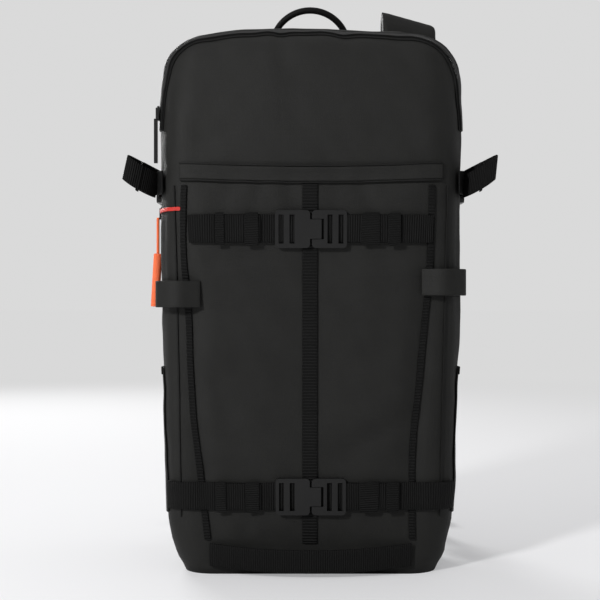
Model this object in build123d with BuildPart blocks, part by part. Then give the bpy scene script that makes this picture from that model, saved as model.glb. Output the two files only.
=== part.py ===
from build123d import *
import math
import os

os.makedirs("parts", exist_ok=True)

# Ski-touring backpack with a separate snow-safety compartment.
# Millimetres. +Z up, -Y to the outer face, +Y to the wearer's back.
# The origin is on the floor, under the middle of the bag.

# ---- Driving dimensions -------------------------------------------------
BAG_HEIGHT = 560.0
BAG_WIDTH = 306.0
BAG_DEPTH = 152.0
BACK_Y = 62.0
CORNER_R = 34.0
WALL = 3.0
BASE_HEIGHT = 32.0
POCKET_HEIGHT = 147.0
WELT_Z = BAG_HEIGHT - POCKET_HEIGHT
WELT_HEIGHT = 16.0
FRONT_INSET = 35.0
FRONT_HALF = BAG_WIDTH / 2 - FRONT_INSET
MAIN_ZIP_Y = 12.0
GEAR_ZIP_Y = -24.0
POCKET_ZIP_Y = -56.0
ZIP_WIDTH = 13.0
ZIP_BASE_Z = 215.0
TAPE = 1.2
COIL = 1.2
COIL_WIDTH = 5.0
WEB = 1.6
WEB_WIDTH = 25.0
GAP = 0.3
PANEL_INSET = 17.0
PANEL_WIDTH = BAG_WIDTH - 2 * PANEL_INSET
PANEL_LOW = 76.0
PANEL_DROP = 38.0
PANEL_HIGH = BAG_HEIGHT - PANEL_DROP
PANEL_THICK = 28.0
STRAP_THICK = 13.0
STRAP_WIDTH = 60.0
STRAP_END_WIDTH = 38.0
STRAP_RISE = 46.0
STRAP_TOP_Z = BAG_HEIGHT + STRAP_RISE
BUCKLE_THICK = 4.0
BUCKLE_HALF = 36.0
BUCKLE_HEIGHT = 38.0
BUCKLE_TRAVEL = 10.0
FRONT_STRAP_WIDTH = 30.0
UPPER_STRAP_DROP = 57.0
UPPER_STRAP_Z = WELT_Z - UPPER_STRAP_DROP
LOWER_STRAP_Z = 83.0
SIDE_STRAP_DROP = 9.0
SIDE_STRAP_Z = WELT_Z - SIDE_STRAP_DROP
SIDE_BUCKLE_THICK = 5.0
SLIDER_LENGTH = 15.0
PULL_CORD = 3.2
TUBE_LENGTH = 56.0
TUBE_DIAMETER = 9.0
HANDLE_WIDTH = 84.0
HANDLE_THICK = 7.0
HANDLE_RISE = 38.0
WING_THICK = 13.0
HIP_BUCKLE_WIDTH = 36.0
HIP_BUCKLE_THICK = 9.0
STRAP_END_Z = {"left": 205.0, "right": 172.0}
SIDES = {"left": 1, "right": -1}

# Bag outline: share of height, of width and of depth, and how far the back leans in
RINGS = (
    (0.0, 0.86, 0.72, 0.0),
    (0.035, 0.93, 0.75, 0.0),
    (0.12, 0.98, 0.77, 0.0),
    (0.35, 0.99, 0.83, 0.0),
    (0.575, 1.0, 0.92, 0.0),
    (0.725, 1.0, 1.0, 0.0),
    (0.86, 1.0, 0.96, 0.0),
    (0.932, 0.99, 0.88, 0.0),
    (0.966, 0.935, 0.83, 2.0),
    (0.986, 0.84, 0.74, 9.0),
    (1.0, 0.68, 0.58, 20.0),
)


# ---- The bag's form -----------------------------------------------------
def bag_form(grow):
    """The bag as one block, its surface moved out by grow."""
    with BuildPart() as block:
        for level, wide, deep, lean in RINGS:
            width = BAG_WIDTH * wide + 2 * grow
            depth = BAG_DEPTH * deep - lean + 2 * grow
            back = BACK_Y - lean + grow
            with BuildSketch(Plane.XY.offset(level * BAG_HEIGHT + grow * (2 * level - 1))):
                with Locations((0, back - depth / 2)):
                    RectangleRounded(width, depth, CORNER_R + grow)
        loft(ruled=True)
    return block.part


def layer(low, high):
    """The skin of the bag between two distances from its surface."""
    with BuildPart() as skin:
        add(bag_form(high))
        add(bag_form(low), mode=Mode.SUBTRACT)
    return skin.part


def outline_at(height):
    """Half width and front face of the bag at a height."""
    level = height / BAG_HEIGHT
    low, high = [(a, b) for a, b in zip(RINGS, RINGS[1:]) if a[0] <= level <= b[0]][0]
    share = (level - low[0]) / (high[0] - low[0])
    wide = low[1] + share * (high[1] - low[1])
    deep = low[2] + share * (high[2] - low[2])
    return BAG_WIDTH * wide / 2, BACK_Y - BAG_DEPTH * deep


def front_plane(height, out=0.0):
    """A plane on the outer face, its X along the bag's X and its normal outward."""
    step = 4.0
    slope = (outline_at(height + step)[1] - outline_at(height - step)[1]) / (2 * step)
    normal = Vector(0, -1, slope).normalized()
    origin = Vector(0, outline_at(height)[1], height) + normal * out
    return Plane(origin=origin, x_dir=(1, 0, 0), z_dir=normal)


def side_plane(side, y, height, out=0.0):
    """A plane on one side of the bag, its X to the front and its normal outward."""
    origin = (side * (outline_at(height)[0] + out), y, height)
    return Plane(origin=origin, x_dir=(0, -1, 0), z_dir=(side, 0, 0))


def keep(x, y, z, mode=Mode.INTERSECT):
    """Keep, add or cut the box between the given limits."""
    with Locations(((x[0] + x[1]) / 2, (y[0] + y[1]) / 2, (z[0] + z[1]) / 2)):
        Box(x[1] - x[0], y[1] - y[0], z[1] - z[0], mode=mode)


def trimmed(form, x, y, z):
    """The part of a form inside a box."""
    with BuildPart() as piece:
        add(form)
        keep(x, y, z)
    return piece.part


def write(piece, name):
    """Label a finished piece and write its file."""
    piece.part.label = name
    export_step(piece.part, f"parts/{name}.step")


FAR = 400.0
TOP = BAG_HEIGHT + 40.0
shell = layer(-WALL, 0)
cavity = bag_form(-WALL - GAP)

# ---- Bag shells ---------------------------------------------------------
with BuildPart() as bottom_panel:
    add(shell)
    keep((-FAR, FAR), (-FAR, FAR), (-1, BASE_HEIGHT))
write(bottom_panel, "bottom_panel")

with BuildPart() as rear_gusset:
    add(shell)
    keep((-FAR, FAR), (MAIN_ZIP_Y, FAR), (BASE_HEIGHT, TOP))
write(rear_gusset, "rear_gusset")

with BuildPart() as middle_gusset:
    add(shell)
    keep((-FAR, FAR), (GEAR_ZIP_Y, MAIN_ZIP_Y), (BASE_HEIGHT, TOP))
write(middle_gusset, "middle_gusset")

with BuildPart() as top_pocket:
    add(shell)
    keep((-FAR, FAR), (-FAR, GEAR_ZIP_Y), (WELT_Z, TOP))
write(top_pocket, "top_pocket")

with BuildPart() as front_panel:
    add(shell)
    keep((-FRONT_HALF, FRONT_HALF), (-FAR, GEAR_ZIP_Y), (BASE_HEIGHT, WELT_Z))
write(front_panel, "front_panel")

for name, side in SIDES.items():
    with BuildPart() as front_gusset:
        add(shell)
        reach = sorted((side * FRONT_HALF, side * FAR))
        keep(reach, (-FAR, GEAR_ZIP_Y), (BASE_HEIGHT, WELT_Z))
    write(front_gusset, f"front_gusset_{name}")

with BuildPart() as welt_band:
    add(layer(0, 2 * WALL / 3))
    keep(
        (-FRONT_HALF - 14, FRONT_HALF + 14),
        (-FAR, POCKET_ZIP_Y - ZIP_WIDTH / 2),
        (WELT_Z - WELT_HEIGHT / 2, WELT_Z + WELT_HEIGHT / 2),
    )
write(welt_band, "welt_band")

# ---- Inside the bag -----------------------------------------------------
SHEET = 1.5

with BuildPart() as pocket_lining:
    add(cavity)
    keep((-FAR, FAR), (-FAR, GEAR_ZIP_Y), (WELT_Z, TOP))
    keep((-FAR, FAR), (-FAR, GEAR_ZIP_Y - SHEET), (WELT_Z + SHEET, TOP), mode=Mode.SUBTRACT)
write(pocket_lining, "pocket_lining")

with BuildPart() as compartment_divider:
    add(cavity)
    keep((-FAR, FAR), (MAIN_ZIP_Y - SHEET / 2, MAIN_ZIP_Y + SHEET / 2), (-1, TOP))
write(compartment_divider, "compartment_divider")

with BuildPart() as gear_sleeve:
    sleeve_y = MAIN_ZIP_Y - SHEET / 2 - GAP
    sleeve_half = FRONT_HALF - 23
    keep((-sleeve_half, sleeve_half), (sleeve_y - SHEET, sleeve_y), (60, WELT_Z - 73), mode=Mode.ADD)
write(gear_sleeve, "gear_sleeve")

FRAME_THICK = 2.0
FRAME_HALF = PANEL_WIDTH / 2 - 24
STAY_WIDTH = 12.0
STAY_THICK = 2.5
frame_y = BACK_Y - WALL - GAP
with BuildPart() as frame_sheet:
    with BuildSketch(Plane.XZ.offset(-frame_y)) as frame_face:
        with Locations((0, BAG_HEIGHT / 2 - 8)):
            RectangleRounded(2 * FRAME_HALF, BAG_HEIGHT - 120, 40)
    extrude(amount=FRAME_THICK)
write(frame_sheet, "frame_sheet")

stay_y = frame_y - FRAME_THICK - GAP
with BuildPart() as frame_stay:
    with BuildSketch(Plane.XZ.offset(-stay_y)) as stay_face:
        with Locations((0, BAG_HEIGHT / 2 - 8)):
            RectangleRounded(STAY_WIDTH, BAG_HEIGHT - 150, STAY_WIDTH / 2 - 0.1)
    extrude(amount=STAY_THICK)
write(frame_stay, "frame_stay")

bladder_y = stay_y - STAY_THICK - GAP
with BuildPart() as bladder_sleeve:
    sleeve_half = FRAME_HALF - 22
    sleeve_span = (150, BAG_HEIGHT - 110)
    keep((-sleeve_half, sleeve_half), (bladder_y - SHEET, bladder_y), sleeve_span, mode=Mode.ADD)
write(bladder_sleeve, "bladder_sleeve")

# ---- Zips ---------------------------------------------------------------
tape = layer(0, TAPE)
coil = layer(TAPE, TAPE + COIL)
for name, zip_y, low, high in (
    ("main_zip", MAIN_ZIP_Y, ZIP_BASE_Z, TOP),
    ("gear_zip", GEAR_ZIP_Y, ZIP_BASE_Z, TOP),
    ("pocket_zip", POCKET_ZIP_Y, WELT_Z + 45, TOP),
):
    with BuildPart() as zipper:
        add(tape)
        keep((-FAR, FAR), (zip_y - ZIP_WIDTH / 2, zip_y + ZIP_WIDTH / 2), (low, high))
    with BuildPart() as teeth:
        add(coil)
        keep((-FAR, FAR), (zip_y - COIL_WIDTH / 2, zip_y + COIL_WIDTH / 2), (low, high))
    with BuildPart() as chain:
        add(zipper.part)
        add(teeth.part)
    write(chain, name)

# ---- Webbing sewn on the outer face -------------------------------------
web_skin = layer(0, WEB)
DAISY_WIDTH = 16.0
with BuildPart() as daisy_strip:
    add(web_skin)
    keep(
        (-DAISY_WIDTH / 2, DAISY_WIDTH / 2),
        (-FAR, GEAR_ZIP_Y),
        (BASE_HEIGHT, WELT_Z - WELT_HEIGHT / 2 - GAP),
    )
write(daisy_strip, "daisy_strip")

SEAM_WIDTH = 6.0
with BuildPart() as seam_webbing:
    add(web_skin)
    keep(
        (-FRONT_HALF, FRONT_HALF),
        (-FAR, GEAR_ZIP_Y),
        (BASE_HEIGHT, WELT_Z - WELT_HEIGHT / 2 - GAP),
    )
    inner_half = FRONT_HALF - SEAM_WIDTH
    keep((-inner_half, inner_half), (-FAR, FAR), (0, TOP), mode=Mode.SUBTRACT)
write(seam_webbing, "seam_webbing")

POCKET_LOW = 62.0
with BuildPart() as side_pockets:
    add(web_skin)
    keep((-FAR, FAR), (-44, BACK_Y - 6), (POCKET_LOW, ZIP_BASE_Z - GAP))
    keep((-BAG_WIDTH / 2 + 18, BAG_WIDTH / 2 - 18), (-FAR, FAR), (0, TOP), mode=Mode.SUBTRACT)
write(side_pockets, "side_pockets")

# ---- Grab handle, ski loops and bottom loop -----------------------------
HANDLE_Y = 26.0
HANDLE_LEAN = 24.0
handle_z = BAG_HEIGHT + HANDLE_THICK / 2 + 0.6
handle_normal = Vector(0, -1, 0).rotate(Axis.X, HANDLE_LEAN)
with BuildPart() as grab_handle:
    with BuildLine(Plane((0, HANDLE_Y, handle_z), (1, 0, 0), handle_normal)) as arch:
        reach = HANDLE_WIDTH / 2
        ThreePointArc((-reach, 0), (0, HANDLE_RISE), (reach, 0))
    with BuildSketch(Plane(arch.line @ 0, z_dir=arch.line % 0)):
        Circle(HANDLE_THICK / 2)
    sweep()
    with Locations(arch.line @ 0, arch.line @ 1):
        Sphere(HANDLE_THICK / 2)
write(grab_handle, "grab_handle")

LOOP_STAND = 9.0
LOOP_WEB = 2.4
LOOP_WIDTH = 27.0
LOOP_DROP = {"left": 111.0, "right": 123.0}
LOOP_Z = {name: WELT_Z - drop for name, drop in LOOP_DROP.items()}
LOOP_BACK_Y = -42.0
loop_edge = FRONT_HALF - SEAM_WIDTH
loop_skin = layer(WEB + GAP, LOOP_STAND + LOOP_WEB)
loop_space = bag_form(LOOP_STAND)
loops = []
for name, side in SIDES.items():
    span = (LOOP_Z[name] - LOOP_WIDTH / 2, LOOP_Z[name] + LOOP_WIDTH / 2)
    outer = sorted((side * loop_edge, side * FAR))
    inner = sorted((side * (loop_edge + LOOP_WEB), side * FAR))
    ring = trimmed(loop_skin, outer, (-FAR, LOOP_BACK_Y), span)
    hole = trimmed(loop_space, inner, (-FAR, LOOP_BACK_Y - LOOP_WEB), span)
    loops.append(ring - hole)
with BuildPart() as ski_loops:
    add(loops)
write(ski_loops, "ski_loops")

BOTTOM_LOOP_HALF = FRONT_HALF - 14
BOTTOM_LOOP_STAND = 17.0
BOTTOM_LOOP_WIDTH = 27.0
bottom_y = outline_at(BASE_HEIGHT)[1] - WEB / 2 - GAP
with BuildPart() as bottom_loop:
    with BuildSketch(Plane.XY.offset(4)):
        with BuildLine() as bow:
            ThreePointArc(
                (-BOTTOM_LOOP_HALF, bottom_y),
                (0, bottom_y - BOTTOM_LOOP_STAND),
                (BOTTOM_LOOP_HALF, bottom_y),
            )
        trace(line_width=WEB)
    extrude(amount=BOTTOM_LOOP_WIDTH)
write(bottom_loop, "bottom_loop")

# ---- Straps and buckles -------------------------------------------------
BUCKLE_GAP = 0.5
TONGUE = 11.5
strap_low = WEB + GAP
strap_high = strap_low + WEB
front_skin = layer(strap_low, strap_high)
UPPER_STRAP_HALF = FRONT_HALF + 5
LOWER_STRAP_HALF = BAG_WIDTH / 2 - 7


def buckle_plate(way, half, height):
    """Sketch one half's plate with its webbing slots, on the side given by way."""
    with Locations((way * (half + 1) / 2, 0)):
        RectangleRounded(half - 1, height, 4)
    centres = [half - 6] + ([half - 17] if half > 32 else [])
    with Locations([(way * c, 0) for c in centres]):
        Rectangle(5, height - 9, mode=Mode.SUBTRACT)


def buckle_frame(plane, half, height, thick):
    """The half that stays on the bag, with an open mouth for the tongue."""
    mouth = TONGUE + BUCKLE_GAP
    with BuildPart() as frame:
        with BuildSketch(plane):
            buckle_plate(-1, half, height)
            with Locations((-1 - mouth / 2 + 0.01, 0)):
                Rectangle(mouth + 0.02, height * 0.54, mode=Mode.SUBTRACT)
        extrude(amount=thick)
    return frame


def buckle_hook(plane, half, height, thick):
    """The half that slides out, with the tongue that enters the mouth."""
    with BuildPart() as hook:
        with BuildSketch(plane):
            buckle_plate(1, half, height)
            with Locations((1 - TONGUE / 2, 0)):
                Rectangle(TONGUE + 0.02, height * 0.54 - 2 * BUCKLE_GAP)
        extrude(amount=thick)
    return hook


for name, height, reach in (
    ("upper", UPPER_STRAP_Z, UPPER_STRAP_HALF),
    ("lower", LOWER_STRAP_Z, LOWER_STRAP_HALF),
):
    with BuildPart() as front_strap:
        add(front_skin)
        half_width = FRONT_STRAP_WIDTH / 2
        keep((-reach, reach), (-FAR, GEAR_ZIP_Y), (height - half_width, height + half_width))
    write(front_strap, f"{name}_strap")
    seat = front_plane(height, strap_high + GAP)
    seat = Plane(seat.origin, x_dir=(-1, 0, 0), z_dir=seat.z_dir)
    write(buckle_frame(seat, BUCKLE_HALF, BUCKLE_HEIGHT, BUCKLE_THICK), f"{name}_frame")
    write(buckle_hook(seat, BUCKLE_HALF, BUCKLE_HEIGHT, BUCKLE_THICK), f"{name}_hook")

side_low = TAPE + COIL + GAP
side_high = side_low + WEB
side_skin = layer(side_low, side_high)
front_edge = outline_at(SIDE_STRAP_Z)[1] + 11
SIDE_BUCKLE_Y = 5.0
SIDE_BUCKLE_HALF = 30.0
FOLD_OUT = 34.0
fold_y = SIDE_BUCKLE_Y - SIDE_BUCKLE_HALF - 13
straps = []
frames = []
for name, side in SIDES.items():
    height = (SIDE_STRAP_Z - WEB_WIDTH / 2, SIDE_STRAP_Z + WEB_WIDTH / 2)
    reach = sorted((side * 90, side * FAR))
    straps.append(trimmed(side_skin, reach, (front_edge, BACK_Y - 5), height))
    face = side * (outline_at(SIDE_STRAP_Z)[0] + side_low)
    with BuildPart() as fold:
        with BuildSketch(Plane.XY.offset(height[0])):
            with BuildLine() as folded:
                FilletPolyline(
                    (face, fold_y),
                    (face + side * FOLD_OUT, fold_y - 28),
                    (face + side * (FOLD_OUT - 6), fold_y - 34),
                    (face - side * 1, fold_y - 12),
                    radius=(4.0, 4.0),
                )
            trace(line_width=WEB)
        extrude(amount=WEB_WIDTH)
    straps[-1] = straps[-1] + fold.part
    seat = side_plane(side, SIDE_BUCKLE_Y, SIDE_STRAP_Z, side_high + GAP)
    frame = buckle_frame(seat, SIDE_BUCKLE_HALF, BUCKLE_HEIGHT - 4, SIDE_BUCKLE_THICK)
    frames.append(frame.part)
    hook = buckle_hook(seat, SIDE_BUCKLE_HALF, BUCKLE_HEIGHT - 4, SIDE_BUCKLE_THICK)
    write(hook, f"side_hook_{name}")
with BuildPart() as compression_straps:
    add(straps)
write(compression_straps, "compression_straps")
with BuildPart() as side_frames:
    add(frames)
write(side_frames, "side_frames")

# ---- Zip sliders and the orange pull ------------------------------------
SLIDER_WIDTH = 8.5
SLIDER_THICK = 3.6
TAB_WIDTH = 4.2
slider_out = TAPE + COIL + 0.4


def slider_body(plane):
    """A zip slider over the coil, with the bridge that holds its pull."""
    with BuildPart() as slider:
        with BuildSketch(plane):
            RectangleRounded(SLIDER_WIDTH, SLIDER_LENGTH, 3)
        extrude(amount=SLIDER_THICK / 2)
        with BuildSketch(plane.offset(SLIDER_THICK / 2)):
            RectangleRounded(SLIDER_WIDTH * 0.5, SLIDER_LENGTH * 0.8, 1.6)
        extrude(amount=SLIDER_THICK / 2)
    return slider.part


def slider_tab(plane, length):
    """A slider with a moulded pull hanging from its lower end."""
    with BuildPart() as tab:
        add(slider_body(plane))
        with BuildSketch(plane.offset(SLIDER_THICK / 2)):
            with Locations((0, -SLIDER_LENGTH * 0.35 - length / 2)):
                RectangleRounded(TAB_WIDTH, length, TAB_WIDTH / 2 - 0.1)
        extrude(amount=SLIDER_THICK)
    return tab


MAIN_SLIDER_X = -34.0
MAIN_TAB = 38.0
top_seat = Plane((MAIN_SLIDER_X, MAIN_ZIP_Y, BAG_HEIGHT + slider_out), (0, 1, 0), (0, 0, 1))
write(slider_tab(top_seat, MAIN_TAB), "main_slider")

POCKET_SLIDER_Z = WELT_Z + 63
POCKET_TAB = 46.0
write(
    slider_tab(side_plane(-1, POCKET_ZIP_Y, POCKET_SLIDER_Z, slider_out), POCKET_TAB),
    "pocket_slider",
)

GEAR_SLIDER_Z = SIDE_STRAP_Z - 29.0
gear_seat = side_plane(-1, GEAR_ZIP_Y, GEAR_SLIDER_Z, slider_out)
with BuildPart() as gear_slider:
    add(slider_body(gear_seat))
write(gear_slider, "gear_slider")

pull_x = -(outline_at(GEAR_SLIDER_Z)[0] + slider_out + SLIDER_THICK + GAP / 3 + PULL_CORD / 2)
pull_top = GEAR_SLIDER_Z - SLIDER_LENGTH * 0.4 + 2.0
PULL_CORD_LENGTH = 38.0
with BuildPart() as pull_cord:
    with BuildSketch(Plane.XY.offset(pull_top)):
        with Locations((pull_x, GEAR_ZIP_Y)):
            Circle(PULL_CORD / 2)
    extrude(amount=-PULL_CORD_LENGTH)
write(pull_cord, "pull_cord")

with BuildPart() as pull_tube:
    with BuildSketch(Plane.XY.offset(pull_top - PULL_CORD_LENGTH)):
        with Locations((pull_x, GEAR_ZIP_Y)):
            Circle(TUBE_DIAMETER / 2)
    extrude(amount=-TUBE_LENGTH)
    fillet(pull_tube.edges().group_by(Axis.Z)[0], 1.2)
write(pull_tube, "pull_tube")

# ---- Back panel and shoulder straps -------------------------------------
PANEL_CORNER = 20.0
GROOVE_X = 23.0
GROOVE_WIDTH = 12.0
GROOVE_DEPTH = 9.0
panel_y = BACK_Y + GAP
panel_face = panel_y + PANEL_THICK
with BuildPart() as back_panel:
    with BuildSketch(Plane.XZ.offset(-panel_face)):
        with Locations((0, (PANEL_LOW + PANEL_HIGH) / 2)):
            RectangleRounded(PANEL_WIDTH, PANEL_HIGH - PANEL_LOW, PANEL_CORNER)
    extrude(amount=PANEL_THICK)
    fillet(back_panel.faces().sort_by(Axis.Y)[-1].edges(), 8)
    for side in SIDES.values():
        with BuildSketch(Plane.XZ.offset(-panel_face)):
            with Locations((side * GROOVE_X, PANEL_HIGH - 130)):
                SlotOverall(190, GROOVE_WIDTH, rotation=90)
        extrude(amount=GROOVE_DEPTH, mode=Mode.SUBTRACT)
write(back_panel, "back_panel")

SHOULDER_X = PANEL_WIDTH / 2 - 20
LOCK_X = PANEL_WIDTH / 2 + 7
root_y = panel_y + 2 + STRAP_THICK / 2
outer_y = panel_face + 29.0
chest_top = STRAP_TOP_Z - 166
chest_low = STRAP_TOP_Z - 286
STRAP_FALL = {"left": -14.0, "right": 22.0}
STRAP_TILT = 0.28
STRAP_FLARE = 3.0
root_drop = STRAP_TILT * STRAP_WIDTH
root_depth = 2 + STRAP_THICK + 4
tilt_base = STRAP_TILT * (SHOULDER_X - STRAP_WIDTH / 2)


def strap_outline(side, end_z):
    """The shoulder strap's S shape, seen from the back."""
    middle = (
        (SHOULDER_X - 2, STRAP_TOP_Z + 20),
        (SHOULDER_X - 9, STRAP_TOP_Z - 66),
        (SHOULDER_X - 29, STRAP_TOP_Z - 146),
        (SHOULDER_X - 42, STRAP_TOP_Z - 231),
        (LOCK_X - 59, end_z + 112),
        (LOCK_X - 29, end_z + 42),
        (LOCK_X, end_z),
    )
    top = STRAP_WIDTH / 2
    half = (top + STRAP_FLARE, top, top, top - 1, top - 1, top - 2, STRAP_END_WIDTH / 2)
    inner = [(side * (x - w), z) for (x, z), w in zip(middle, half)]
    outer = [(side * (x + w), z) for (x, z), w in zip(middle, half)]
    with BuildSketch(Plane.XZ) as outline:
        with BuildLine():
            Spline(*inner)
            Spline(*outer)
            Line(inner[0], outer[0])
            Line(inner[-1], outer[-1])
        make_face()
    return outline.sketch


for name, side in SIDES.items():
    end_z = STRAP_END_Z[name]
    peak_z = STRAP_TOP_Z - STRAP_FALL[name]
    with BuildPart() as shoulder_strap:
        with BuildSketch(Plane((0, 0, tilt_base), (0, 1, 0), (1, 0, 0))):
            with BuildLine():
                FilletPolyline(
                    (root_y, PANEL_HIGH - root_drop),
                    (root_y + 3, peak_z - 26),
                    (root_y + 24, peak_z),
                    (outer_y - 4, peak_z - 28),
                    (outer_y, chest_top),
                    (outer_y - 4, chest_low),
                    (outer_y - 9, end_z - root_drop),
                    radius=(16, 14, 14, 120, 160),
                )
            trace(line_width=STRAP_THICK)
        extrude(amount=2 * SHOULDER_X, dir=(side, 0, -STRAP_TILT))
        add(strap_outline(side, end_z))
        extrude(amount=FAR, dir=(0, 1, 0), mode=Mode.INTERSECT)
        with Locations((0, panel_y, PANEL_HIGH + 3 * GAP)):
            Box(FAR, 2 * root_depth, FAR, align=(Align.CENTER, Align.CENTER, Align.MAX), mode=Mode.SUBTRACT)
    write(shoulder_strap, f"shoulder_strap_{name}")

LIFTER_X = SHOULDER_X - 4
LIFTER_WIDTH = 20.0
with BuildPart() as load_lifters:
    for name, side in SIDES.items():
        with BuildSketch(Plane.YZ.offset(side * LIFTER_X)):
            with BuildLine():
                Line(
                    (root_y + STRAP_THICK / 2 + 4, PANEL_HIGH + GAP + WEB / 2),
                    (outer_y - 4.8 - STRAP_THICK / 2, STRAP_TOP_Z - STRAP_FALL[name] - 40),
                )
            trace(line_width=WEB)
        extrude(amount=LIFTER_WIDTH / 2, both=True)
write(load_lifters, "load_lifters")

LOCK_WIDTH = 34.0
LOCK_HEIGHT = 28.0
LOCK_THICK = 4.0
lock_y = outer_y - 9.0
ANCHOR_X = PANEL_WIDTH / 2 - 19
ANCHOR_Z = PANEL_LOW + 14.0
ADJUST_WIDTH = 20.0
for name, side in SIDES.items():
    top_z = STRAP_END_Z[name] - 0.5
    with BuildPart() as ladder_lock:
        with BuildSketch(Plane.XZ.offset(-lock_y - LOCK_THICK / 2)):
            with Locations((side * LOCK_X, top_z - LOCK_HEIGHT / 2)):
                RectangleRounded(LOCK_WIDTH, LOCK_HEIGHT, 4)
            with Locations([(side * LOCK_X, top_z - LOCK_HEIGHT / 2 + z) for z in (-5.5, 5.5)]):
                Rectangle(LOCK_WIDTH - 10, 5.5, mode=Mode.SUBTRACT)
        extrude(amount=LOCK_THICK)
    write(ladder_lock, f"ladder_lock_{name}")

    web_top = top_z - LOCK_HEIGHT - 0.5
    with BuildPart() as adjust_webbing:
        with BuildSketch(Plane.YZ):
            with BuildLine():
                FilletPolyline(
                    (lock_y, web_top),
                    (panel_face + 6, ANCHOR_Z + 22),
                    (panel_face + WEB / 2 + 0.2, ANCHOR_Z),
                    radius=(40,),
                )
            trace(line_width=WEB)
        extrude(amount=FAR, both=True)
        with BuildSketch(Plane.XZ):
            half_width = ADJUST_WIDTH / 2
            low, high = ANCHOR_Z - 5, web_top + 5
            with BuildLine():
                Polyline(
                    (side * (ANCHOR_X - half_width), low),
                    (side * (ANCHOR_X + half_width), low),
                    (side * (LOCK_X + half_width), high),
                    (side * (LOCK_X - half_width), high),
                    close=True,
                )
            make_face()
        extrude(amount=FAR, dir=(0, 1, 0), mode=Mode.INTERSECT)
    write(adjust_webbing, f"adjust_webbing_{name}")

# ---- Sternum strap ------------------------------------------------------
STERNUM_WEB = 19.0
CLIP_WIDTH = 20.0
CLIP_HEIGHT = 15.0
CLIP_THICK = 5.0
CLIP_Z = {"left": STRAP_TOP_Z - 237, "right": STRAP_TOP_Z - 298}
CLIP_X = {"left": SHOULDER_X - 64, "right": SHOULDER_X - 58}
CLIP_CLEAR = 0.8
clip_y = {
    name: outer_y - 4 * (chest_top - height) / 120 + STRAP_THICK / 2 + CLIP_CLEAR
    for name, height in CLIP_Z.items()
}
sternum_y = {name: face + CLIP_THICK + GAP for name, face in clip_y.items()}
for name, side in SIDES.items():
    with BuildPart() as sternum_clip:
        with BuildSketch(Plane.XZ.offset(-clip_y[name])):
            with Locations((side * CLIP_X[name], CLIP_Z[name])):
                RectangleRounded(CLIP_WIDTH, CLIP_HEIGHT, 3)
        extrude(amount=-CLIP_THICK)
        fillet(sternum_clip.faces().sort_by(Axis.Y)[-1].edges(), 1.5)
    write(sternum_clip, f"sternum_clip_{name}")


def flat_strip(start, end, width, y, thick=WEB):
    """A straight strip of webbing between two points seen from the back."""
    line = Vector(end[0] - start[0], 0, end[1] - start[1])
    plane = Plane((start[0], y, start[1]), line, (0, 1, 0))
    with BuildPart() as strip:
        with BuildSketch(plane):
            with Locations((line.length / 2, 0)):
                Rectangle(line.length, width)
        extrude(amount=thick)
    return strip


left_top = (CLIP_X["left"] - 4, CLIP_Z["left"])
left_end = (left_top[0] - 26, left_top[1] - 85)
write(flat_strip(left_top, left_end, STERNUM_WEB, sternum_y["left"]), "sternum_webbing_left")
right_top = (-CLIP_X["right"] + 4, CLIP_Z["right"])
right_end = (right_top[0] + 20, right_top[1] - 9)
write(flat_strip(right_top, right_end, STERNUM_WEB, sternum_y["right"]), "sternum_webbing_right")

STERNUM_BUCKLE = 26.0
STERNUM_THICK = 8.0


def sternum_block(start, end, width, y, thick):
    """A moulded buckle half at the end of a strip of webbing."""
    block = flat_strip(start, end, width, y, thick)
    with BuildPart() as half:
        add(block.part)
        fillet(half.edges().filter_by(Axis.Y), 3)
    return half


left_way = Vector(left_end[0] - left_top[0], left_end[1] - left_top[1]).normalized()
plug_start = (left_end[0] + left_way.X * GAP, left_end[1] + left_way.Y * GAP)
plug_end = (left_end[0] + left_way.X * STERNUM_BUCKLE, left_end[1] + left_way.Y * STERNUM_BUCKLE)
plug = sternum_block(plug_start, plug_end, STERNUM_WEB, sternum_y["left"], STERNUM_THICK - 3)
write(plug, "sternum_plug")
right_way = Vector(right_end[0] - right_top[0], right_end[1] - right_top[1]).normalized()
socket_start = (right_end[0] + right_way.X * GAP, right_end[1] + right_way.Y * GAP)
socket_end = (
    right_end[0] + right_way.X * STERNUM_BUCKLE,
    right_end[1] + right_way.Y * STERNUM_BUCKLE,
)
socket_width = STERNUM_WEB + 4
socket = sternum_block(socket_start, socket_end, socket_width, sternum_y["right"], STERNUM_THICK)
write(socket, "sternum_socket")

# ---- Hip belt -----------------------------------------------------------
WING_X = PANEL_WIDTH / 2 + GAP
wing_tip_y = 128.0
HIP_WEB_X = WING_X + WING_THICK / 2
HIP_ROUTE = (
    (wing_tip_y + 0.8, 58.0),
    (138.0, 32.0),
    (158.0, 9.0),
    (188.0, 1.6),
    (214.0, 1.2),
)


def route_radii(points):
    """An arc for each corner, as large as its two runs allow."""
    radii = []
    for before, corner, after in zip(points, points[1:], points[2:]):
        run_in = Vector(corner[0] - before[0], corner[1] - before[1])
        run_out = Vector(after[0] - corner[0], after[1] - corner[1])
        turn = run_in.get_angle(run_out)
        shorter = min(run_in.length, run_out.length)
        radii.append(0.45 * shorter * (1 + math.cos(math.radians(turn))) / math.sin(math.radians(turn)))
    print("webbing radii", [round(r, 1) for r in radii])
    return radii


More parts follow.
